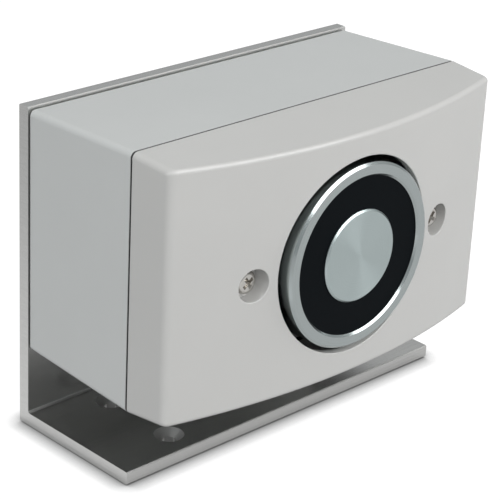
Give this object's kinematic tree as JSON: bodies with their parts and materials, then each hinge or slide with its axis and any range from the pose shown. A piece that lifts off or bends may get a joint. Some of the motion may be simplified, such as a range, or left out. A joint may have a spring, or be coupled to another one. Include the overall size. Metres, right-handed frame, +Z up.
{
  "type": "electromagnetic door holder",
  "caption": "Floor-standing electromagnetic door holder: a pot magnet with turned pole face in a bowed grey moulded housing on an aluminium angle bracket.",
  "frame": {"origin": "middle of the foot's underside, on the floor", "axes": "+X across the width, -Y out of the magnet's face towards the door, +Z up"},
  "size_m": [0.13, 0.0743, 0.1013],
  "materials": {
    "bracket": "natural extruded aluminium, fine lengthwise grain",
    "box_plastic": "satin light grey moulding",
    "cover_plastic": "satin light grey moulding, semi-gloss on edges",
    "nickel_screws": "nickel plated",
    "zinc_screws": "bright zinc plated",
    "zinc_sheet": "zinc plated sheet steel",
    "pot_steel": "turned and nickel plated",
    "core_steel": "face turned in fine rings, nickel plated",
    "resin": "matt black casting resin",
    "bobbin_nylon": "natural nylon",
    "copper": "enamelled copper wire",
    "brass": "turned brass",
    "lead_red": "insulated wire",
    "lead_black": "insulated wire",
    "terminal_plastic": "moulded polyamide",
    "diode_epoxy": "moulded epoxy",
    "grommet_rubber": "soft black rubber"
  },
  "bodies": {
    "root": {"mounting_bracket": "bracket", "back_box": "box_plastic", "front_cover": "cover_plastic", "cover_screws": "nickel_screws", "cover_screw_inserts": "brass", "magnet_carrier": "zinc_sheet", "carrier_screws": "zinc_screws", "carrier_washers": "zinc_screws", "magnet_pot": "pot_steel", "pole_core": "core_steel", "coil_bobbin": "bobbin_nylon", "coil_winding": "copper", "coil_potting": "resin", "magnet_bolt": "zinc_screws", "magnet_washer": "zinc_screws", "lead_bush": "bobbin_nylon", "coil_lead_positive": "lead_red", "coil_lead_negative": "lead_black", "terminal_block": "terminal_plastic", "terminal_clamps": "brass", "terminal_screws": "zinc_screws", "terminal_block_screw": "zinc_screws", "suppressor_diode": "diode_epoxy", "cable_grommet": "grommet_rubber"}
  },
  "joints": []
}
